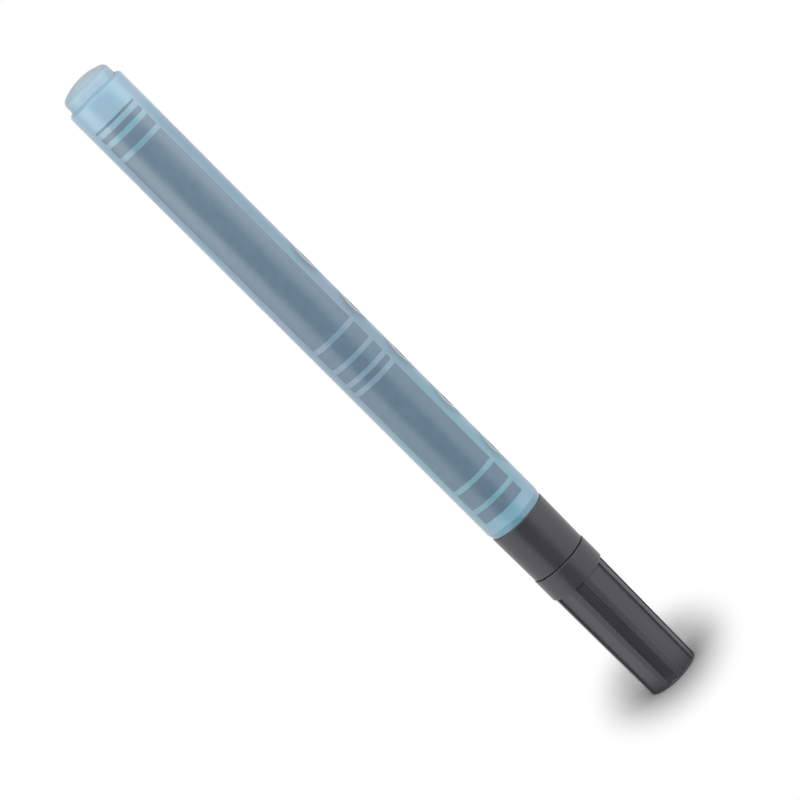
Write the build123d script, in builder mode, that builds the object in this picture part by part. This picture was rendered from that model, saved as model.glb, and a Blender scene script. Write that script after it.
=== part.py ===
from build123d import *
import math
import os

# A capped paint marker with a pump valve, standing on its cap. Sizes are in millimetres.
# The origin is the centre of the cap's end face, and +Z runs along the axis to the rear plug.
# Insets, drafts and tapers are on the radius, shares are of the barrel's radius.

# Cap
cap_length = 27.67
cap_end_wall = 1.2
cap_side_wall = 0.65
cap_end_chamfer = 0.12
cap_foot = 0.25
cap_draft = 0.21
cap_ring_inset = 0.1
cap_ring_height = 0.275
cap_ring_length = 4.5
cap_ring_front_chamfer = 0.15
cap_ring_rim_chamfer = 0.1
cap_mouth_wall = 1.0
cap_mouth_depth = 4.0

# Flutes of the cap: narrow grooves and wide pockets in turn, all with flat floors, from the foot to the ring
flute_pairs = 4
flute_direction = -98.2
groove_width = 2.0
groove_depth = 0.4
pocket_width = 3.4
pocket_depth = 0.65
flute_edge_chamfer = 0.08

# Liner in the cap
liner_wall = 0.6
liner_end_wall = 0.8
liner_length = 16.0
liner_mouth_chamfer = 0.2

# Grip section
cap_gap = 0.1
grip_length = 9.93
grip_inset = 0.11
grip_taper = 0.125
grip_front_chamfer = 0.12
grip_rear_chamfer = 0.1
grip_floor = 1.2
cap_seat_bead = 0.15
cap_seat_bead_length = 0.9
cap_seat_chamfer = 0.3
seal_overlap = 2.5
nose_tip_diameter = 3.8
nib_exposed = 4.3
chamber_side_wall = 1.2
chamber_end_wall = 1.4

# Nib
nib_diameter = 2.4
nib_point_diameter = 1.0
nib_point_length = 2.5
nib_tip_gap = 1.2
nib_travel = 2.0

# Barrel
barrel_diameter = 11.0
barrel_wall = 1.0
barrel_length = 97.55
barrel_lip_length = 1.2
barrel_lip_depth = 0.3
barrel_shoulder_wall = 1.2
barrel_rear_chamfer = 0.4
neck_share = 0.8
neck_bore_share = 0.636

# End plug
plug_head_inset = 0.8
plug_head_draft = 0.1
plug_head_height = 2.15
plug_dome_height = 1.1
plug_corner_chamfer = 0.4
plug_skirt_length = 7.0
plug_skirt_chamfer = 0.3
plug_wall = 0.9
plug_end_wall = 1.5

# Valve
valve_flange = 1.0
valve_bore_share = 0.505
valve_end_wall = 1.2
seat_thickness = 0.8
plunger_head_thickness = 1.6
plunger_head_chamfer = 0.3
stem_diameter = 1.8
stem_reach = 2.5
stem_gap = 0.35
pin_diameter = 1.4
pin_entry = 1.0
pin_end_gap = 0.2
retainer_flange = 1.2
retainer_end_wall = 0.4
flow_holes = 4
flow_hole_fill = 0.6

# Valve spring
spring_length = 10.5
spring_diameter = 2.4
spring_wire = 0.4
spring_turns = 5
spring_end_gap = 0.02

# Mixing ball
ball_wall_gap = 2.0

# Clearances
push_fit = 0.02
cap_fit = 0.06
nib_fit = 0.08
guide_fit = 0.1
valve_fit = 0.05
paint_gap = 0.05
ball_path_gap = 0.3

# Heights of the seats along the axis
cap_ring_front = cap_length - cap_ring_length
cap_seat = cap_length - cap_mouth_depth
liner_floor = cap_end_wall + liner_end_wall
liner_mouth = cap_end_wall + liner_length
nib_tip = liner_floor + nib_tip_gap
nose_tip = nib_tip + nib_exposed
seal_front = liner_mouth - seal_overlap
chamber_front = cap_seat + chamber_end_wall
grip_front = cap_length + cap_gap
grip_rear = grip_front + grip_length
valve_front = grip_front + grip_floor
neck_front = valve_front + valve_flange
valve_floor = valve_front + valve_end_wall
seat_top = valve_floor + seat_thickness
stem_front = valve_front - stem_reach
head_top = seat_top + plunger_head_thickness
retainer_bottom = head_top + spring_length
spring_bottom = head_top + spring_end_gap + spring_wire / 2
spring_top = retainer_bottom - spring_end_gap - spring_wire / 2
pin_top = retainer_bottom + pin_entry
guide_top = pin_top + nib_travel + pin_end_gap
retainer_top = guide_top + retainer_end_wall
valve_rear = retainer_top - retainer_flange
barrel_floor = grip_rear + barrel_shoulder_wall
barrel_rear = grip_rear + barrel_length
skirt_bottom = barrel_rear - plug_skirt_length
plug_corner = barrel_rear + plug_head_height
plug_top = plug_corner + plug_dome_height

# Radii of the faces that fit each other
barrel_radius = barrel_diameter / 2
bore_radius = barrel_radius - barrel_wall
cap_ring_radius = barrel_radius - cap_ring_inset
cap_shoulder_radius = cap_ring_radius - cap_ring_height
cap_end_radius = cap_shoulder_radius - cap_draft
mouth_radius = cap_ring_radius - cap_mouth_wall
cap_bore_radius = cap_end_radius - pocket_depth - cap_side_wall
liner_radius = cap_bore_radius - push_fit
liner_bore_radius = liner_radius - liner_wall
seal_radius = liner_bore_radius - cap_fit
bead_radius = mouth_radius - cap_fit
cap_neck_radius = bead_radius - cap_seat_bead
chamber_radius = cap_neck_radius - chamber_side_wall
grip_rear_radius = barrel_radius - grip_inset
grip_front_radius = grip_rear_radius - grip_taper
nib_radius = nib_diameter / 2
nib_bore_radius = nib_radius + nib_fit
neck_radius = neck_share * barrel_radius
neck_bore_radius = neck_bore_share * barrel_radius
sleeve_radius = neck_radius + push_fit
valve_radius = neck_bore_radius - push_fit
valve_bore_radius = valve_bore_share * barrel_radius
stem_hole_radius = stem_diameter / 2 + stem_gap
plunger_head_radius = (stem_hole_radius + valve_bore_radius) / 2
retainer_plug_radius = valve_bore_radius - push_fit
spring_radius = spring_diameter / 2
spring_outer_radius = spring_radius + spring_wire / 2
ball_radius = bore_radius - ball_wall_gap
skirt_radius = bore_radius - push_fit
plug_head_radius = barrel_radius - plug_head_inset


def rim(part, height):
    """The outermost round edge of a turned part at a height."""
    circles = part.edges().filter_by(GeomType.CIRCLE)
    level = [edge for edge in circles if abs(edge.center().Z - height) < 1e-4]
    return max(level, key=lambda edge: edge.radius)


def mouth(part, height):
    """The innermost round edge of a turned part at a height."""
    circles = part.edges().filter_by(GeomType.CIRCLE)
    level = [edge for edge in circles if abs(edge.center().Z - height) < 1e-4]
    return min(level, key=lambda edge: edge.radius)


def radial_plane(direction):
    """The plane through the axis whose x axis points out in a direction, in degrees."""
    return Plane.XZ.rotated((0, 0, direction))


def coil_point(turn):
    """A point of the spring's centre line, and the direction there, after a number of turns."""
    angle = 2 * math.pi * turn
    rise = (spring_top - spring_bottom) / (2 * math.pi * spring_turns)
    place = Vector(
        spring_radius * math.cos(angle),
        spring_radius * math.sin(angle),
        spring_bottom + rise * angle,
    )
    heading = Vector(-spring_radius * math.sin(angle), spring_radius * math.cos(angle), rise)
    return place, heading.normalized()


def biarc_middle(start, start_heading, end, end_heading):
    """The point where two arcs meet that join two points and their directions, and the direction there."""
    chord = end - start
    a = 2 * (1 - start_heading.dot(end_heading))
    b = 2 * chord.dot(start_heading + end_heading)
    reach = (math.sqrt(b * b + 4 * a * chord.dot(chord)) - b) / (2 * a)
    before = start + start_heading * reach
    after = end - end_heading * reach
    return (before + after) * 0.5, (after - before).normalized()


def least_gap(line, wire, turns):
    """The least clear distance between neighbouring turns of a coil, measured on points."""
    steps = 60 * turns
    points = [line @ (i / steps) for i in range(steps + 1)]
    apart = steps // (2 * turns)
    return min((points[j] - points[i]).length for i in range(steps) for j in range(i + apart, steps)) - wire


# Cap: a drafted shell with a ring at its mouth, and a step inside that stops it on the grip section
with BuildPart() as cap_shell:
    with BuildSketch(Plane.XZ):
        with BuildLine():
            Polyline(
                (0, 0),
                (cap_end_radius, 0),
                (cap_shoulder_radius, cap_ring_front),
                (cap_ring_radius, cap_ring_front),
                (cap_ring_radius, cap_length),
                (mouth_radius, cap_length),
                (mouth_radius, cap_seat),
                (cap_bore_radius, cap_seat),
                (cap_bore_radius, cap_end_wall),
                (0, cap_end_wall),
                close=True,
            )
        make_face()
    revolve(axis=Axis.Z)
    chamfer(rim(cap_shell.part, 0), cap_end_chamfer)
    chamfer(rim(cap_shell.part, cap_ring_front), cap_ring_front_chamfer)
    chamfer(rim(cap_shell.part, cap_length), cap_ring_rim_chamfer)
    flute_step = 360 / flute_pairs
    for pair in range(flute_pairs):
        groove_direction = flute_direction + pair * flute_step
        pocket_direction = groove_direction + flute_step / 2
        for direction, width, depth in (
            (groove_direction, groove_width, groove_depth),
            (pocket_direction, pocket_width, pocket_depth),
        ):
            with BuildSketch(radial_plane(direction)):
                with BuildLine():
                    Polyline(
                        (cap_end_radius - depth, cap_foot),
                        (cap_shoulder_radius - depth, cap_ring_front),
                        (cap_ring_radius, cap_ring_front),
                        (cap_ring_radius, cap_foot),
                        close=True,
                    )
                make_face()
            extrude(amount=width / 2, both=True, mode=Mode.SUBTRACT)
    cones = cap_shell.faces().filter_by(GeomType.CONE)
    ribs = cones.filter_by_position(Axis.Z, cap_end_chamfer, cap_ring_front)
    chamfer(ribs.edges().filter_by(GeomType.CIRCLE, reverse=True), flute_edge_chamfer)

# Liner: a soft cup in the cap that closes over the nose
with BuildPart() as inner_cap:
    with BuildSketch(Plane.XZ):
        with BuildLine():
            Polyline(
                (0, cap_end_wall),
                (liner_radius, cap_end_wall),
                (liner_radius, liner_mouth),
                (liner_bore_radius, liner_mouth),
                (liner_bore_radius, liner_floor),
                (0, liner_floor),
                close=True,
            )
        make_face()
    revolve(axis=Axis.Z)
    chamfer(mouth(inner_cap.part, liner_mouth), liner_mouth_chamfer)

# Grip section: sleeve over the barrel's neck, seat for the cap, seal land and nose in one moulding
with BuildPart() as grip_section:
    bead_middle = (cap_seat + grip_front) / 2
    with BuildSketch(Plane.XZ):
        with BuildLine():
            Polyline(
                (nib_bore_radius, nose_tip),
                (nose_tip_diameter / 2, nose_tip),
                (seal_radius, seal_front),
                (seal_radius, cap_seat),
                (cap_neck_radius, cap_seat),
                (cap_neck_radius, bead_middle - cap_seat_bead_length / 2),
                (bead_radius, bead_middle),
                (cap_neck_radius, bead_middle + cap_seat_bead_length / 2),
                (cap_neck_radius, grip_front),
                (grip_front_radius, grip_front),
                (grip_rear_radius, grip_rear),
                (sleeve_radius, grip_rear),
                (sleeve_radius, valve_front),
                (chamber_radius, valve_front),
                (chamber_radius, chamber_front),
                (nib_bore_radius, chamber_front),
                close=True,
            )
        make_face()
    revolve(axis=Axis.Z)
    chamfer(rim(grip_section.part, grip_front), grip_front_chamfer)
    chamfer(rim(grip_section.part, grip_rear), grip_rear_chamfer)
    chamfer(rim(grip_section.part, cap_seat), cap_seat_chamfer)

# Nib: a fibre rod with a tapered point and a round tip
with BuildPart() as nib:
    point_radius = nib_point_diameter / 2
    with BuildSketch(Plane.XZ):
        with BuildLine():
            TangentArc((0, nib_tip), (point_radius, nib_tip + point_radius), tangent=(1, 0))
            Polyline(
                (point_radius, nib_tip + point_radius),
                (nib_radius, nib_tip + nib_point_length),
                (nib_radius, stem_front),
                (0, stem_front),
                (0, nib_tip),
            )
        make_face()
    revolve(axis=Axis.Z)

# Barrel: a tube with a tapered lip and a narrower neck inside the grip section
with BuildPart() as barrel:
    with BuildSketch(Plane.XZ):
        with BuildLine():
            Polyline(
                (neck_bore_radius, neck_front),
                (neck_radius, neck_front),
                (neck_radius, grip_rear),
                (barrel_radius - barrel_lip_depth, grip_rear),
                (barrel_radius, grip_rear + barrel_lip_length),
                (barrel_radius, barrel_rear),
                (bore_radius, barrel_rear),
                (bore_radius, barrel_floor),
                (neck_bore_radius, barrel_floor),
                close=True,
            )
        make_face()
    revolve(axis=Axis.Z)
    chamfer(rim(barrel.part, barrel_rear), barrel_rear_chamfer)

# End plug: a hollow skirt pushed into the barrel, with a drafted head and a domed end
with BuildPart() as end_plug:
    plug_bore_radius = skirt_radius - plug_wall
    plug_ceiling = plug_top - plug_end_wall
    corner_radius = plug_head_radius - plug_head_draft
    with BuildSketch(Plane.XZ):
        with BuildLine():
            Polyline(
                (corner_radius, plug_corner),
                (plug_head_radius, barrel_rear),
                (skirt_radius, barrel_rear),
                (skirt_radius, skirt_bottom),
                (plug_bore_radius, skirt_bottom),
                (plug_bore_radius, plug_ceiling),
                (0, plug_ceiling),
                (0, plug_top),
            )
            TangentArc((0, plug_top), (corner_radius, plug_corner), tangent=(1, 0))
        make_face()
    revolve(axis=Axis.Z)
    chamfer(rim(end_plug.part, plug_corner), plug_corner_chamfer)
    chamfer(rim(end_plug.part, skirt_bottom), plug_skirt_chamfer)

# Valve housing: its flange is clamped between the grip section's floor and the barrel's neck
with BuildPart() as valve_body:
    with BuildSketch(Plane.XZ):
        with BuildLine():
            Polyline(
                (stem_hole_radius, valve_front),
                (neck_radius, valve_front),
                (neck_radius, neck_front),
                (valve_radius, neck_front),
                (valve_radius, valve_rear),
                (valve_bore_radius, valve_rear),
                (valve_bore_radius, valve_floor),
                (stem_hole_radius, valve_floor),
                close=True,
            )
        make_face()
    revolve(axis=Axis.Z)

# Valve seat: a soft ring on the floor of the housing
with BuildPart() as valve_seat:
    with BuildSketch(Plane.XY.offset(valve_floor)):
        Circle(valve_bore_radius - push_fit)
        Circle(stem_hole_radius, mode=Mode.SUBTRACT)
    extrude(amount=seat_thickness)

# Plunger: stem down to the nib, sealing head on the seat, guide pin up to the retainer
with BuildPart() as valve_plunger:
    with BuildSketch(Plane.XZ):
        with BuildLine():
            Polyline(
                (0, stem_front),
                (stem_diameter / 2, stem_front),
                (stem_diameter / 2, seat_top),
                (plunger_head_radius, seat_top),
                (plunger_head_radius, head_top),
                (pin_diameter / 2, head_top),
                (pin_diameter / 2, pin_top),
                (0, pin_top),
                close=True,
            )
        make_face()
    revolve(axis=Axis.Z)
    chamfer(rim(valve_plunger.part, head_top), plunger_head_chamfer)

# Retainer: a pierced plug that closes the housing and guides the plunger's pin
with BuildPart() as valve_retainer:
    guide_radius = pin_diameter / 2 + guide_fit
    with BuildSketch(Plane.XZ):
        with BuildLine():
            Polyline(
                (guide_radius, retainer_bottom),
                (retainer_plug_radius, retainer_bottom),
                (retainer_plug_radius, valve_rear),
                (valve_radius, valve_rear),
                (valve_radius, retainer_top),
                (0, retainer_top),
                (0, guide_top),
                (guide_radius, guide_top),
                close=True,
            )
        make_face()
    revolve(axis=Axis.Z)
    with BuildSketch(Plane.XY.offset(retainer_bottom)):
        with PolarLocations((spring_outer_radius + retainer_plug_radius) / 2, flow_holes):
            Circle(flow_hole_fill * (retainer_plug_radius - spring_outer_radius) / 2)
    extrude(amount=retainer_top - retainer_bottom, mode=Mode.SUBTRACT)

# Valve spring: an open coil between the plunger's head and the retainer
with BuildPart() as valve_spring:
    with BuildLine() as coil:
        for half_turn in range(2 * spring_turns):
            start, start_heading = coil_point(half_turn / 2)
            end, end_heading = coil_point((half_turn + 1) / 2)
            middle, middle_heading = biarc_middle(start, start_heading, end, end_heading)
            TangentArc(start, middle, tangent=start_heading)
            TangentArc(middle, end, tangent=middle_heading)
    with BuildSketch(Plane(coil.line @ 0, z_dir=coil.line % 0)):
        RegularPolygon(spring_wire / 2, 6)
    sweep()
    print("least gap between the spring's turns:", round(least_gap(coil.line, spring_wire, spring_turns), 3))

# Mixing ball: lies on the retainer
with BuildPart() as mixing_ball:
    with Locations((0, 0, retainer_top + ball_radius)):
        Sphere(ball_radius)

# Paint: the charge as a coat on the barrel's wall, round the valve and the way that the ball runs
with BuildPart() as paint_charge:
    valve_side = valve_radius + valve_fit
    ball_side = ball_radius + ball_path_gap
    wall_side = bore_radius - push_fit
    with BuildSketch(Plane.XZ):
        with BuildLine():
            Polyline(
                (valve_side, barrel_floor + paint_gap),
                (wall_side, barrel_floor + paint_gap),
                (wall_side, skirt_bottom - paint_gap),
                (ball_side, skirt_bottom - paint_gap),
                (ball_side, retainer_top + paint_gap),
                (valve_side, retainer_top + paint_gap),
                close=True,
            )
        make_face()
    revolve(axis=Axis.Z)
    print("paint in millilitres:", round(paint_charge.part.volume / 1000, 2))

# Each piece is labelled and written to its own file
pieces = {
    "cap_shell": cap_shell,
    "inner_cap": inner_cap,
    "grip_section": grip_section,
    "nib": nib,
    "barrel": barrel,
    "end_plug": end_plug,
    "valve_body": valve_body,
    "valve_seat": valve_seat,
    "valve_plunger": valve_plunger,
    "valve_retainer": valve_retainer,
    "valve_spring": valve_spring,
    "mixing_ball": mixing_ball,
    "paint_charge": paint_charge,
}
os.makedirs("parts", exist_ok=True)
for name, piece in pieces.items():
    piece.part.label = name
    export_step(piece.part, f"parts/{name}.step")
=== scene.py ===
import math

import bpy
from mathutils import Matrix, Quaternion, Vector


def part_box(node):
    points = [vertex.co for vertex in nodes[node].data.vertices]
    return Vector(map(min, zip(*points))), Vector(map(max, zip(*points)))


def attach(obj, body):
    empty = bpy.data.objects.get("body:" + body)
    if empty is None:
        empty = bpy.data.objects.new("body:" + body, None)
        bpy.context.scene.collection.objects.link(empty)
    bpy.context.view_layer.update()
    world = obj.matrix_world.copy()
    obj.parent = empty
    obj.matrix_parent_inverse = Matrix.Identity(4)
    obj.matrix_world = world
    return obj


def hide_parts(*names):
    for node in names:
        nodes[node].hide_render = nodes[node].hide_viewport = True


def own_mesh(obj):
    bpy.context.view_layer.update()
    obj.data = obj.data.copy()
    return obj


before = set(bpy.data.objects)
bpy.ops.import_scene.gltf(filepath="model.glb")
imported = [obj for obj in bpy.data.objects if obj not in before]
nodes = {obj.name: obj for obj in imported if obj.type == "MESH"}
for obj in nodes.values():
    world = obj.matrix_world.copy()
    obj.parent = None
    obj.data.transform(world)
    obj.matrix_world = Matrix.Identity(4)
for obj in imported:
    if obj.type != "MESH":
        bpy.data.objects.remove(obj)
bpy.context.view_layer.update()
scene = bpy.context.scene
MM = 0.001
UP = Vector((0, 0, 1))
WHITE = (1, 1, 1, 1)


# Shader helpers

# The range that most of a noise field lies in
NOISE_RANGE = (0.3, 0.7)
BEVEL_SAMPLES = 6
# The colour sockets of a Mix node
MIX_FIRST, MIX_SECOND, MIX_RESULT = 6, 7, 2


def put(tree, kind, inputs=None, **settings):
    """A node of a kind; inputs are values, or sockets to link from."""
    node = tree.nodes.new(kind)
    for key, value in settings.items():
        setattr(node, key, value)
    for key, value in (inputs or {}).items():
        if isinstance(value, bpy.types.NodeSocket):
            tree.links.new(value, node.inputs[key])
        else:
            node.inputs[key].default_value = value
    return node


def new_tree(name):
    """A material with an empty node tree, and the tree's output."""
    material = bpy.data.materials.new(name)
    material.use_nodes = True
    tree = material.node_tree
    tree.nodes.clear()
    return material, tree, put(tree, "ShaderNodeOutputMaterial")


def new_material(name, constants=None):
    """A material with one Principled shader, whose constants go on its own sockets."""
    material, tree, output = new_tree(name)
    shader = put(tree, "ShaderNodeBsdfPrincipled", constants)
    tree.links.new(shader.outputs["BSDF"], output.inputs["Surface"])
    return material, tree, shader


def own_point(tree):
    """X, Y and Z of a point in the object's own coordinates."""
    place = put(tree, "ShaderNodeTexCoord")
    return put(tree, "ShaderNodeSeparateXYZ", {"Vector": place.outputs["Object"]}).outputs


def noise(tree, scale, detail, stretch=(1, 1, 1)):
    """Noise in the object's own coordinates, with scale in waves per metre."""
    place = put(tree, "ShaderNodeTexCoord")
    mapping = put(tree, "ShaderNodeMapping", {"Vector": place.outputs["Object"], "Scale": stretch})
    field = put(tree, "ShaderNodeTexNoise", {
        "Vector": mapping.outputs["Vector"], "Scale": scale, "Detail": detail})
    return field.outputs["Fac"]


def ramp(tree, factor, stops):
    """A colour ramp over (position, colour) stops."""
    node = put(tree, "ShaderNodeValToRGB", {"Fac": factor})
    elements = node.color_ramp.elements
    while len(elements) < len(stops):
        elements.new(0.5)
    for element, (position, colour) in zip(elements, stops):
        element.position = position
        element.color = (*colour, 1)
    return node.outputs["Color"]


def mottled(tree, field, colours, reach=NOISE_RANGE):
    """Two colours that follow a noise field."""
    return ramp(tree, field, list(zip(reach, colours)))


def span(tree, value, old, new, shape="LINEAR"):
    """A value brought from an old range to a new one."""
    node = put(tree, "ShaderNodeMapRange", {
        "Value": value, "From Min": old[0], "From Max": old[1], "To Min": new[0], "To Max": new[1],
    }, interpolation_type=shape)
    return node.outputs["Result"]


def calc(tree, operation, first, second=0.0):
    """One step of arithmetic on values or sockets."""
    return put(tree, "ShaderNodeMath", {0: first, 1: second}, operation=operation).outputs["Value"]


def blend(tree, factor, first, second, mode="MIX"):
    """Two colours mixed by a factor."""
    node = put(tree, "ShaderNodeMix", {
        "Factor": factor, MIX_FIRST: first, MIX_SECOND: second,
    }, data_type="RGBA", blend_type=mode)
    return node.outputs[MIX_RESULT]


def choose(tree, factor, first, second):
    """Two shaders mixed by a factor."""
    return put(tree, "ShaderNodeMixShader", {0: factor, 1: first, 2: second}).outputs["Shader"]


def dress(tree, shader, colour, roughness):
    """Gives a shader its colour and roughness."""
    tree.links.new(colour, shader.inputs["Base Color"])
    tree.links.new(roughness, shader.inputs["Roughness"])


def grain(tree, shader, field, depth, strength, edge):
    """Gives a shader fine relief, over normals that are rounded at the edges."""
    rounded = put(tree, "ShaderNodeBevel", {"Radius": edge}, samples=BEVEL_SAMPLES)
    bump = put(tree, "ShaderNodeBump", {
        "Strength": strength, "Distance": depth, "Height": field, "Normal": rounded.outputs["Normal"]})
    tree.links.new(bump.outputs["Normal"], shader.inputs["Normal"])


# Round prints on the barrel: their turn from the printed side, their heights and their sizes, and the painted
# shadow round them

BARREL_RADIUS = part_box("barrel")[1].x
ROUND_TURN = math.radians(103)
ROUND_FIRST, ROUND_PITCH, ROUND_COUNT = 49.26 * MM, 10.92 * MM, 5
ROUND_MIDDLE, ROUND_RADIUS, ROUND_RIM = 0.05 * MM, 2.75 * MM, 3.3 * MM
ROUND_PAINTED_SHADOW_WIDTH, ROUND_PAINTED_SHADOW_TONE = 2.4 * MM, (0.42, 0.54, 0.60, 1)


def painted_round_shadow(tree):
    """Painted shadow: a soft darker zone in the wall round each round print, for the light its ink keeps out.
    """
    point = own_point(tree)
    turn = calc(tree, "ARCTAN2", point["X"], calc(tree, "MULTIPLY", point["Y"], -1.0))
    across = calc(tree, "MULTIPLY", calc(tree, "SUBTRACT", turn, ROUND_TURN), BARREL_RADIUS)
    up = calc(tree, "SUBTRACT", point["Z"], ROUND_FIRST)
    number = calc(tree, "ROUND", calc(tree, "DIVIDE", up, ROUND_PITCH))
    nearest = calc(tree, "MINIMUM", calc(tree, "MAXIMUM", number, 0.0), ROUND_COUNT - 1.0)
    along = calc(tree, "SUBTRACT", up, calc(tree, "MULTIPLY", nearest, ROUND_PITCH))
    offset = put(tree, "ShaderNodeCombineXYZ", {"X": across, "Y": along})
    away = put(tree, "ShaderNodeVectorMath", {0: offset.outputs["Vector"]}, operation="LENGTH")
    zone = (ROUND_RIM, ROUND_RIM + ROUND_PAINTED_SHADOW_WIDTH)
    clear = span(tree, away.outputs["Value"], zone, (0.0, 1.0), "SMOOTHSTEP")
    return blend(tree, clear, ROUND_PAINTED_SHADOW_TONE, WHITE)


# Materials

PLASTIC_IOR = 1.49
COAT_ROUGHNESS = 0.3

# Tones at heights in millimetres within a reach, from the barrel's lip over the paint to its rear edge, whose
# last stop is painted light
BARREL_REACH = (37.5, 136.0)
BARREL_TONES = [
    (37.6, (0.200, 0.400, 0.520)),
    (38.7, (0.210, 0.410, 0.530)),
    (39.0, (0.290, 0.500, 0.610)),
    (40.8, (0.290, 0.490, 0.600)),
    (43.5, (0.248, 0.488, 0.584)),
    (76.0, (0.245, 0.400, 0.518)),
    (122.0, (0.240, 0.405, 0.520)),
    (128.0, (0.272, 0.472, 0.598)),
    (131.0, (0.342, 0.532, 0.662)),
    (134.7, (0.345, 0.530, 0.665)),
    # Painted light: the rear rounded edge is lighter, lifting the shade that falls on it
    (135.1, (0.420, 0.630, 0.820)),
]
# The same for the plug, from its skirt to its domed end
PLUG_REACH = (127.5, 139.0)
PLUG_TONES = [
    (128.0, (0.400, 0.560, 0.680)),
    (134.9, (0.400, 0.670, 0.870)),
    (135.3, (0.350, 0.600, 0.770)),
    (136.2, (0.390, 0.545, 0.665)),
    (137.2, (0.440, 0.580, 0.690)),
    (138.0, (0.540, 0.680, 0.800)),
    (138.6, (0.620, 0.750, 0.860)),
]


def dark_plastic():
    """Charcoal moulded plastic: satin, with a fine grain, faint flow streaks and paler edges, partly rubbed
    wear and partly painted highlight.
    """
    edge_width, edge_turn = 0.12 * MM, (0.995, 0.9)
    # Tone of the paler edges and its greatest share: rubbed wear and painted highlight
    wear_and_highlight_tone, most_wear_and_highlight = (0.180, 0.180, 0.186, 1), 0.7
    material, tree, shader = new_material("charcoal_plastic", {
        "IOR": PLASTIC_IOR, "Specular IOR Level": 0.68})
    flow = noise(tree, scale=420, detail=4.0, stretch=(1, 1, 0.12))
    body = mottled(tree, flow, [(0.038, 0.038, 0.046), (0.047, 0.047, 0.055)])
    edge = put(tree, "ShaderNodeBevel", {"Radius": edge_width}, samples=BEVEL_SAMPLES)
    flat = put(tree, "ShaderNodeNewGeometry")
    turn = put(tree, "ShaderNodeVectorMath", {
        0: edge.outputs["Normal"], 1: flat.outputs["Normal"],
    }, operation="DOT_PRODUCT")
    # Paler where the rounded normal turns from the flat one: rubbed wear and a painted highlight on the edges
    wear_and_highlight = span(tree, turn.outputs["Value"], edge_turn, (0.0, most_wear_and_highlight))
    roughness = span(tree, flow, NOISE_RANGE, (0.30, 0.37))
    dress(tree, shader, blend(tree, wear_and_highlight, body, wear_and_highlight_tone), roughness)
    grain(tree, shader, noise(tree, scale=5200, detail=2.0), depth=0.02 * MM, strength=0.2, edge=edge_width)
    return material


def frosted(name, tones, reach, roughness, edge, depth, coat=0.0, shade=None):
    """Frosted translucent plastic, cloudy with paint, whose tone follows what lies behind it, with painted
    light in its tones and painted shade where given.
    """
    ripple = 0.2 * MM
    cloud_tints, cloud_reach = [(0.86, 0.99, 0.98), (1.13, 1.0, 1.03)], (0.32, 0.68)
    material, tree, shader = new_material(name, {
        "IOR": PLASTIC_IOR, "Specular IOR Level": 1.0,
        "Coat Weight": coat, "Coat Roughness": COAT_ROUGHNESS,
        "Subsurface Weight": 0.8, "Subsurface Radius": (0.8, 1.0, 1.1), "Subsurface Scale": depth})
    low, high = reach
    cloud = noise(tree, scale=150, detail=3.0, stretch=(1, 1, 0.45))
    wave = span(tree, noise(tree, scale=330, detail=2.0), NOISE_RANGE, (-ripple, ripple))
    height = calc(tree, "ADD", own_point(tree)["Z"], wave)
    along = span(tree, height, (low * MM, high * MM), (0.0, 1.0))
    tone = ramp(tree, along, [((z - low) / (high - low), colour) for z, colour in tones])
    # Painted shade, where given, darkens the tone
    if shade:
        tone = blend(tree, 1.0, tone, shade(tree), "MULTIPLY")
    colour = blend(tree, 1.0, tone, mottled(tree, cloud, cloud_tints, cloud_reach), "MULTIPLY")
    dress(tree, shader, colour, span(tree, cloud, NOISE_RANGE, roughness))
    grain(tree, shader, noise(tree, scale=4200, detail=2.0), depth=0.015 * MM, strength=0.15, edge=edge)
    return material


def ink(name, colours, roughness, gloss, coat=0.0):
    """Screen-printed ink: even, with a faint mottle."""
    material, tree, shader = new_material(name, {
        "IOR": PLASTIC_IOR, "Specular IOR Level": gloss,
        "Coat Weight": coat, "Coat Roughness": COAT_ROUGHNESS})
    mottle = noise(tree, scale=700, detail=2.0)
    dress(tree, shader, mottled(tree, mottle, colours), span(tree, mottle, NOISE_RANGE, roughness))
    return material


def nib_fibre():
    """Bonded fibre with strands along the axis, stained with paint at its point."""
    stained, clean, creep = 0.8 * MM, 2.6 * MM, 0.5 * MM
    most_paint, least_paint = 0.9, 0.1
    material, tree, shader = new_material("nib_fibre")
    strands = noise(tree, scale=2600, detail=3.0, stretch=(1, 1, 0.08))
    fibre = mottled(tree, strands, [(0.60, 0.64, 0.63), (0.78, 0.80, 0.78)])
    paint = mottled(tree, strands, [(0.24, 0.48, 0.62), (0.34, 0.58, 0.70)])
    height = calc(tree, "ADD", own_point(tree)["Z"], span(tree, strands, NOISE_RANGE, (-creep, creep)))
    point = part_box("nib")[0].z
    stain = span(tree, height, (point + stained, point + clean), (most_paint, least_paint), "SMOOTHSTEP")
    roughness = span(tree, strands, NOISE_RANGE, (0.70, 0.80))
    dress(tree, shader, blend(tree, stain, fibre, paint), roughness)
    grain(tree, shader, strands, depth=0.02 * MM, strength=0.2, edge=0.08 * MM)
    return material


def inner(name, colours, scale, roughness, metallic=0.0):
    """Material of a piece inside the marker, with its own texture."""
    material, tree, shader = new_material(name, {"Metallic": metallic})
    texture = noise(tree, scale, detail=3.0)
    dress(tree, shader, mottled(tree, texture, colours), span(tree, texture, NOISE_RANGE, roughness))
    grain(tree, shader, texture, depth=0.02 * MM, strength=0.2, edge=0.08 * MM)
    return material


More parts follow.
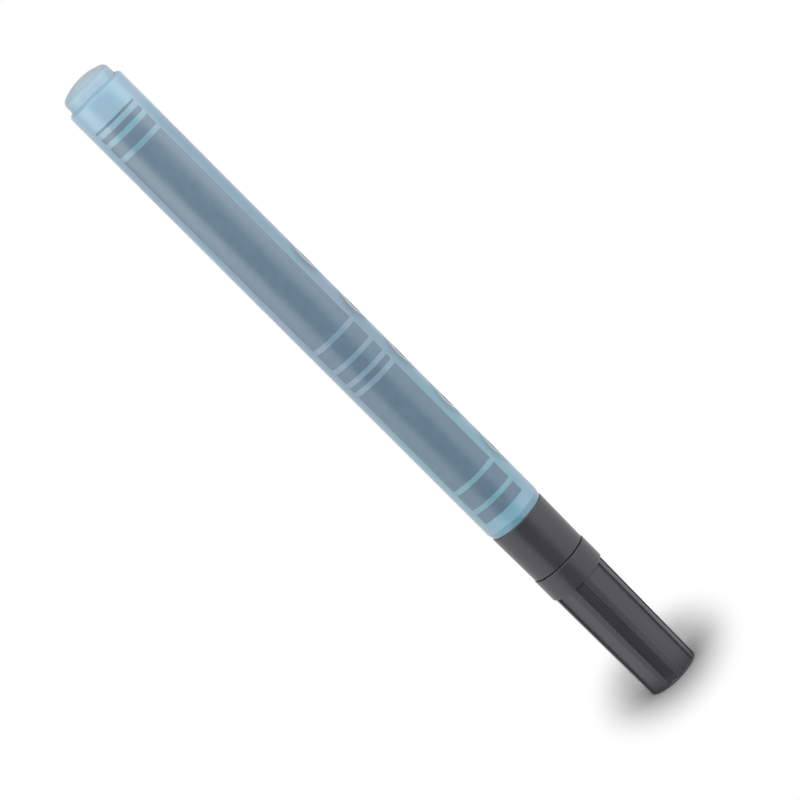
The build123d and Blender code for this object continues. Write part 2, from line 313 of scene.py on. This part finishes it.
charcoal = dark_plastic()
grey_ink = ink("grey_ink", [(0.128, 0.208, 0.280), (0.142, 0.226, 0.300)],
               roughness=(0.28, 0.34), gloss=0.8, coat=0.35)
round_ink = ink("round_ink", [(0.105, 0.165, 0.215), (0.120, 0.180, 0.235)],
                roughness=(0.55, 0.61), gloss=0.3)
white_ink = ink("white_ink", [(0.72, 0.78, 0.83), (0.79, 0.84, 0.88)],
                roughness=(0.50, 0.56), gloss=0.3)
acetal = inner("natural_acetal", [(0.76, 0.76, 0.73), (0.84, 0.84, 0.81)],
               scale=1100, roughness=(0.29, 0.39))
spring_steel = inner("spring_steel", [(0.52, 0.52, 0.54), (0.66, 0.66, 0.68)],
                     scale=5200, roughness=(0.23, 0.33), metallic=1.0)
finishes = {
    "cap_shell": charcoal,
    "grip_section": charcoal,
    # The barrel's tone carries a painted shadow round each round print
    "barrel": frosted("barrel_frosted", BARREL_TONES, BARREL_REACH, roughness=(0.30, 0.37),
                      edge=0.12 * MM, depth=1.2 * MM, coat=0.35, shade=painted_round_shadow),
    "end_plug": frosted("plug_frosted", PLUG_TONES, PLUG_REACH, roughness=(0.35, 0.42),
                        edge=0.03 * MM, depth=2.5 * MM),
    "inner_cap": inner("liner_polyethylene", [(0.72, 0.72, 0.69), (0.80, 0.80, 0.77)],
                       scale=900, roughness=(0.40, 0.50)),
    "nib": nib_fibre(),
    "paint_charge": inner("light_blue_paint", [(0.26, 0.52, 0.66), (0.33, 0.58, 0.70)],
                          scale=260, roughness=(0.17, 0.27)),
    "valve_body": acetal,
    "valve_plunger": acetal,
    "valve_retainer": acetal,
    "valve_seat": inner("black_rubber", [(0.010, 0.010, 0.011), (0.020, 0.020, 0.021)],
                        scale=3800, roughness=(0.57, 0.67)),
    "valve_spring": spring_steel,
    "mixing_ball": inner("polished_steel", [(0.60, 0.60, 0.62), (0.68, 0.68, 0.70)],
                         scale=1800, roughness=(0.07, 0.17), metallic=1.0),
}
for node_name, finish in finishes.items():
    nodes[node_name].data.materials.clear()
    nodes[node_name].data.materials.append(finish)


# Mesh pieces

CREASE = math.radians(40)


def new_piece(name, points, faces, material):
    """A mesh object in the scene."""
    mesh = bpy.data.meshes.new(name)
    mesh.from_pydata(points, [], faces)
    mesh.materials.append(material)
    piece = bpy.data.objects.new(name, mesh)
    scene.collection.objects.link(piece)
    return piece


def riding_piece(name, points, faces, material, body):
    """A smooth mesh piece that rides on a body."""
    piece = new_piece(name, points, faces, material)
    piece.data.shade_smooth()
    piece.data.set_sharp_from_angle(angle=CREASE)
    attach(piece, body)
    return piece


# Print on the barrel: thin films that are bedded in its surface

FILM = 0.012 * MM
BEDDED = 0.03 * MM
BAR_LEFT, BAR_RIGHT = math.radians(-53.5), math.radians(42.5)
# The front and rear edge of each bar, as heights in millimetres
BARS = [(41.14, 43.31), (44.26, 47.75), (48.70, 70.87), (71.81, 72.87), (73.78, 75.96), (76.89, 80.39),
        (81.34, 124.23), (125.17, 127.29), (128.27, 129.28), (130.26, 130.69)]


def on_barrel(turn, height, radius):
    """A point round the barrel's axis; turn is in radians from the printed side, to the right."""
    return (radius * math.sin(turn), -radius * math.cos(turn), height)


def patch_faces(under, top, closed):
    """The faces of one film between two layers of rows of point numbers."""
    faces = []
    count = len(top[0])
    columns = range(count if closed else count - 1)
    for i in range(len(top) - 1):
        for j in columns:
            k = (j + 1) % count
            faces.append((top[i][j], top[i][k], top[i + 1][k], top[i + 1][j]))
            faces.append((under[i][j], under[i + 1][j], under[i + 1][k], under[i][k]))
    for j in columns:
        k = (j + 1) % count
        faces.append((top[0][k], top[0][j], under[0][j], under[0][k]))
        faces.append((top[-1][j], top[-1][k], under[-1][k], under[-1][j]))
    if not closed:
        for i in range(len(top) - 1):
            faces.append((top[i][0], top[i + 1][0], under[i + 1][0], under[i][0]))
            faces.append((top[i + 1][-1], top[i][-1], under[i][-1], under[i + 1][-1]))
    return faces


def film(name, patches, closed, material):
    """Films as one piece. A patch is rows of (turn, height); the rows of closed ones join up in a ring."""
    points, faces = [], []
    for rows in patches:
        layers = []
        for radius in (BARREL_RADIUS - BEDDED, BARREL_RADIUS + FILM):
            layer = []
            for row in rows:
                layer.append(range(len(points), len(points) + len(row)))
                points.extend(on_barrel(turn, height, radius) for turn, height in row)
            layers.append(layer)
        faces.extend(patch_faces(*layers, closed))
    riding_piece(name, points, faces, material, "marker_body")


def bar(low, high):
    """A bar across the printed side, as an open patch."""
    columns, row_height = 48, 4.0
    row_count = max(1, round((high - low) / row_height))
    turns = [BAR_LEFT + (BAR_RIGHT - BAR_LEFT) * j / columns for j in range(columns + 1)]
    heights = [(low + (high - low) * i / row_count) * MM for i in range(row_count + 1)]
    return [[(turn, height) for turn in turns] for height in heights]


def ring(number, inside, outside):
    """A round print or its rim, as a closed patch from its inside radius to its outside one."""
    columns, steps = 64, 4
    middle = ROUND_FIRST + number * ROUND_PITCH
    angles = [2 * math.pi * j / columns for j in range(columns)]
    radii = [inside + (outside - inside) * i / steps for i in range(steps + 1)]
    return [[(ROUND_TURN + radius * math.cos(angle) / BARREL_RADIUS, middle + radius * math.sin(angle))
             for angle in angles] for radius in radii]


def rings(inside, outside):
    """All the round prints, or all their rims."""
    return [ring(number, inside, outside) for number in range(ROUND_COUNT)]


film("print_bars", [bar(low, high) for low, high in BARS], False, grey_ink)
film("print_rounds", rings(ROUND_MIDDLE, ROUND_RADIUS), True, round_ink)
film("print_round_rims", rings(ROUND_RADIUS, ROUND_RIM), True, white_ink)


# Valve spring: round wire with a closed turn at each end

WIRE_RADIUS, COIL_RADIUS = 0.2 * MM, 1.2 * MM
CLOSED_TURNS, OPEN_TURNS = 1.0, 5.0
CLOSED_GAP = 0.02 * MM
CLOSED_PITCH = 2 * WIRE_RADIUS + CLOSED_GAP
COIL_STEPS, WIRE_SIDES = 48, 12


def coil_rise(turn, open_pitch):
    """Rise of the wire's middle after a number of turns."""
    first = min(turn, CLOSED_TURNS)
    middle = min(max(turn - CLOSED_TURNS, 0), OPEN_TURNS)
    last = max(turn - CLOSED_TURNS - OPEN_TURNS, 0)
    return (first + last) * CLOSED_PITCH + middle * open_pitch


def spring_coil():
    """The valve's spring in round wire, between the ends of its solid."""
    low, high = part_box("valve_spring")
    bottom, top = low.z + WIRE_RADIUS, high.z - WIRE_RADIUS
    open_pitch = (top - bottom - 2 * CLOSED_TURNS * CLOSED_PITCH) / OPEN_TURNS
    count = int((2 * CLOSED_TURNS + OPEN_TURNS) * COIL_STEPS)
    points, faces = [], []
    for i in range(count + 1):
        turn = i / COIL_STEPS
        angle = 2 * math.pi * turn
        out = Vector((math.cos(angle), math.sin(angle), 0))
        middle = out * COIL_RADIUS + UP * (bottom + coil_rise(turn, open_pitch))
        for j in range(WIRE_SIDES):
            around = 2 * math.pi * j / WIRE_SIDES
            points.append(middle + WIRE_RADIUS * (math.cos(around) * out + math.sin(around) * UP))
    for i in range(count):
        near, far = i * WIRE_SIDES, (i + 1) * WIRE_SIDES
        for j in range(WIRE_SIDES):
            k = (j + 1) % WIRE_SIDES
            faces.append((near + j, far + j, far + k, near + k))
    faces.append(tuple(range(WIRE_SIDES)))
    faces.append(tuple(reversed(range(count * WIRE_SIDES, (count + 1) * WIRE_SIDES))))
    piece = riding_piece("spring_coil", points, faces, spring_steel, "marker_body")
    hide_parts("valve_spring")
    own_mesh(piece)


spring_coil()


# Floor, world and lamps, with places in metres

def seen_rays(tree):
    """One for the rays that show the background: camera, glossy and transmission rays."""
    path = put(tree, "ShaderNodeLightPath")
    either = calc(tree, "MAXIMUM", path.outputs["Is Camera Ray"], path.outputs["Is Glossy Ray"])
    return calc(tree, "MAXIMUM", either, path.outputs["Is Transmission Ray"])


def floor_white():
    """White with the marker's shadow where it is seen: the lamps' shadow, deepened by painted shade near the
    marker; other light falls on it as on a grey table.
    """
    table_tone = (0.55, 0.55, 0.55, 1)
    # The shadow shows only in an oval round the marker's foot, shifted back and stretched in depth; beyond it
    # the floor is plain white
    shadow_shift, shadow_stretch = (0, -3.4 * MM, 0), (1, 0.45, 1)
    shadow_edge = (5.7 * MM, 16.3 * MM)
    shade_reach, shade_samples = 30 * MM, 16
    shades = [(0.60, 0.50), (0.80, 0.63), (0.90, 0.745), (1.0, 0.89)]
    material, tree, output = new_tree("floor_white")
    place = put(tree, "ShaderNodeTexCoord")
    drawn = put(tree, "ShaderNodeMapping", {
        "Vector": place.outputs["Object"], "Location": shadow_shift, "Scale": shadow_stretch})
    away = put(tree, "ShaderNodeVectorMath", {0: drawn.outputs["Vector"]}, operation="LENGTH")
    # Painted shade: the floor's colour darkens where the marker closes off the sky round it
    open_sky = put(tree, "ShaderNodeAmbientOcclusion", {"Distance": shade_reach}, samples=shade_samples)
    shade = ramp(tree, open_sky.outputs["AO"], [(share, (grey, grey, grey)) for share, grey in shades])
    table = put(tree, "ShaderNodeBsdfDiffuse", {"Color": table_tone})
    near = put(tree, "ShaderNodeBsdfDiffuse", {"Color": shade})
    white = put(tree, "ShaderNodeEmission", {"Color": WHITE, "Strength": 1.0})
    fade = span(tree, away.outputs["Value"], shadow_edge, (0.0, 1.0), "SMOOTHSTEP")
    seen = choose(tree, fade, near.outputs["BSDF"], white.outputs["Emission"])
    tree.links.new(choose(tree, seen_rays(tree), table.outputs["BSDF"], seen), output.inputs["Surface"])
    return material


def floor():
    """A wide pale floor just under the marker."""
    reach, level = 6.0, -0.02 * MM
    corners = [(-reach, -reach, level), (reach, -reach, level), (reach, reach, level), (-reach, reach, level)]
    piece = new_piece("floor", corners, [(0, 1, 2, 3)], floor_white())


def flag_black():
    """Plain black card."""
    card_tone = (0.02, 0.02, 0.02, 1)
    material, tree, output = new_tree("flag_black")
    card = put(tree, "ShaderNodeBsdfDiffuse", {"Color": card_tone})
    tree.links.new(card.outputs["BSDF"], output.inputs["Surface"])
    return material


def front_flag():
    """A dark card in front of the marker and upright behind the camera, which only reflections show."""
    level, height = 0.5 * MM, 0.18
    # Each row is its depth, its left end and its right end
    rows = [(-7 * MM, -3.4 * MM, 1.2 * MM), (-32 * MM, -20 * MM, 5 * MM), (-0.75, -0.603, 0.387)]
    far, far_left, far_right = rows[-1]
    points = [(x, depth, level) for depth, left, right in rows for x in (left, right)]
    points += [(far_left, far, height), (far_right, far, height)]
    faces = [(0, 1, 3, 2), (2, 3, 5, 4), (4, 5, 7, 6)]
    piece = new_piece("front_flag", points, faces, flag_black())
    piece.visible_camera = False
    piece.visible_diffuse = False
    piece.visible_shadow = False


def surroundings():
    """A dim grey room, white where it shows near the horizon."""
    room_strength, white_strength = 0.25, 1.0
    horizon = (0.12, 0.42)
    world = bpy.data.worlds.new("studio")
    scene.world = world
    world.use_nodes = True
    tree = world.node_tree
    tree.nodes.clear()
    output = put(tree, "ShaderNodeOutputWorld")
    place = put(tree, "ShaderNodeTexCoord")
    up = put(tree, "ShaderNodeSeparateXYZ", {"Vector": place.outputs["Generated"]}).outputs["Z"]
    room = put(tree, "ShaderNodeBackground", {"Color": WHITE, "Strength": room_strength})
    white = put(tree, "ShaderNodeBackground", {"Color": WHITE, "Strength": white_strength})
    low = span(tree, up, horizon, (1.0, 0.0), "SMOOTHSTEP")
    shown = calc(tree, "MULTIPLY", low, seen_rays(tree))
    whole = choose(tree, shown, room.outputs["Background"], white.outputs["Background"])
    tree.links.new(whole, output.inputs["Surface"])


def softbox(name, place, aim, size, power):
    """A rectangular lamp at a place, turned to a point, with its power in watts."""
    lamp = bpy.data.lights.new(name, "AREA")
    lamp.shape = "RECTANGLE"
    lamp.size, lamp.size_y = size
    lamp.energy = power
    piece = bpy.data.objects.new(name, lamp)
    piece.location = place
    piece.rotation_mode = "QUATERNION"
    piece.rotation_quaternion = (Vector(aim) - Vector(place)).to_track_quat("-Z", "Y")
    scene.collection.objects.link(piece)


floor()
front_flag()
surroundings()
softbox("left_box", place=(-0.59, -0.215, 0.27), aim=(0, 0, 0.17), size=(0.54, 0.50), power=1.47)
softbox("right_box", place=(0.59, -0.215, 0.27), aim=(0, 0, 0.17), size=(0.54, 0.50), power=1.50)
softbox("front_box", place=(0, -0.85, 0.45), aim=(0, 0, 0.07), size=(1.1, 0.4), power=5.0)
softbox("back_box", place=(0, 0.42, 0.80), aim=(0, 0, 0.07), size=(0.6, 0.6), power=0.8)


# Camera: from the front and a little above, turned about its own line of sight

CAMERA_PLACE, CAMERA_AIM = Vector((0, -0.560, 0.166)), Vector((0, 0, 0.06515))
CAMERA_ROLL = math.radians(-44.965)
# Lens and sensor in millimetres
CAMERA_LENS, CAMERA_SENSOR = 157.33, 36.0
CAMERA_NEAR, CAMERA_FAR = 0.05, 20


def camera():
    """The camera that the scene renders from."""
    view = bpy.data.cameras.new("camera")
    view.sensor_width = CAMERA_SENSOR
    view.lens = CAMERA_LENS
    view.clip_start, view.clip_end = CAMERA_NEAR, CAMERA_FAR
    piece = bpy.data.objects.new("camera", view)
    piece.location = CAMERA_PLACE
    piece.rotation_mode = "QUATERNION"
    level = (CAMERA_AIM - CAMERA_PLACE).to_track_quat("-Z", "Y")
    piece.rotation_quaternion = level @ Quaternion(UP, CAMERA_ROLL)
    scene.collection.objects.link(piece)
    scene.camera = piece


camera()
scene.view_settings.view_transform = "Standard"
